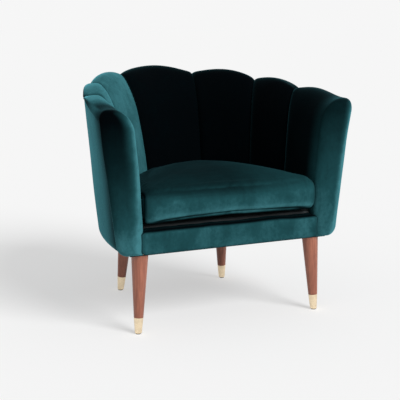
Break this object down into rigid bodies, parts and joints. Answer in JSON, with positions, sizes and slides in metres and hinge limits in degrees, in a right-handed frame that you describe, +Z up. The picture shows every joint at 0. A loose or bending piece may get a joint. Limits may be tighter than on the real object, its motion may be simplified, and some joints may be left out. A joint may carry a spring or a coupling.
{
  "type": "tub chair",
  "caption": "Upholstered tub chair: a vertically channelled shell wraps round into the arms, over a loose seat cushion and splayed tapered wooden legs with metal caps.",
  "frame": {"origin": "on the floor, under the middle of the chair's box", "axes": "+Z up, the back towards +Y, the sitter faces -Y, +X to the right seen from the front"},
  "size_m": [0.808, 0.7, 0.729],
  "materials": {
    "velvet": "velvet",
    "foam": "matte",
    "deck_felt": "matte",
    "deck_cloth": "matte",
    "dust_cover": "matte",
    "webbing": "matte",
    "plywood": "matte",
    "board": "matte",
    "leg_wood": "satin",
    "cap_metal": "satin",
    "glide": "matte",
    "steel": "satin"
  },
  "bodies": {
    "chair": {"centre_channel": "velvet", "left_back_channel": "velvet", "right_back_channel": "velvet", "left_side_channel": "velvet", "right_side_channel": "velvet", "left_arm_channel": "velvet", "right_arm_channel": "velvet", "left_outside_cover": "velvet", "back_outside_cover": "velvet", "right_outside_cover": "velvet", "front_rail_cover": "velvet", "deck_cloth": "deck_cloth", "deck_pad": "deck_felt", "dust_cover": "dust_cover", "base_frame": "plywood", "seat_ring": "plywood", "corner_blocks": "plywood", "front_rail": "plywood", "left_arm_post": "plywood", "right_arm_post": "plywood", "left_side_rib": "plywood", "right_side_rib": "plywood", "left_corner_rib": "plywood", "right_corner_rib": "plywood", "left_back_rib": "plywood", "right_back_rib": "plywood", "mid_rails": "plywood", "top_rail": "plywood", "outside_board": "board", "back_webbing": "webbing", "seat_webbing_long": "webbing", "seat_webbing_cross": "webbing", "front_left_leg": "leg_wood", "front_right_leg": "leg_wood", "back_left_leg": "leg_wood", "back_right_leg": "leg_wood", "front_left_cap": "cap_metal", "front_right_cap": "cap_metal", "back_left_cap": "cap_metal", "back_right_cap": "cap_metal", "foot_glides": "glide", "leg_bolts": "steel", "tee_nuts": "steel"},
    "seat_cushion": {"cushion_cover": "velvet", "cushion_foam": "foam"}
  },
  "joints": [
    {"name": "cushion_lift", "type": "slide", "parent": "chair", "child": "seat_cushion", "axis": [0, 0, 1], "range_m": [0, 0.45]}
  ]
}
